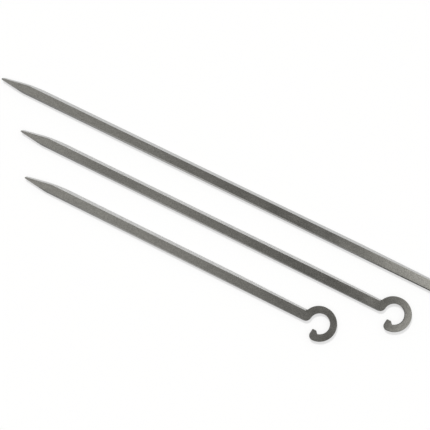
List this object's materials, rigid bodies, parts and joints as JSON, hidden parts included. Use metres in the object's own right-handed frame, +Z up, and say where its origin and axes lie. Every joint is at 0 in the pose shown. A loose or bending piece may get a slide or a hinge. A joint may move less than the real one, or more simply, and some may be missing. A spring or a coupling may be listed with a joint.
{
  "type": "kebab skewer set",
  "caption": "Flat steel kebab skewers in matched lengths, each with a pointed blade, two ground edges and an open ring hook, lying side by side.",
  "frame": {"origin": "middle of the set's footprint, on the surface that it lies on", "axes": "+X along the blades from the points to the rings, +Y across them towards the long skewer and their broad ground edges, +Z up"},
  "size_m": [0.457, 0.1012, 0.003],
  "materials": {
    "steel": "plain stainless plate with a fine lengthwise brushed grain, a broad ground upper edge and a narrow ground lower edge"
  },
  "bodies": {
    "long": {"long_skewer": "steel"},
    "medium": {"medium_skewer": "steel"},
    "short": {"short_skewer": "steel"}
  },
  "joints": [
    {"name": "medium_lift", "type": "slide", "parent": "long", "child": "medium", "axis": [0, 0, 1], "range_m": [0, 0.12]},
    {"name": "short_lift", "type": "slide", "parent": "long", "child": "short", "axis": [0, 0, 1], "range_m": [0, 0.12]}
  ]
}
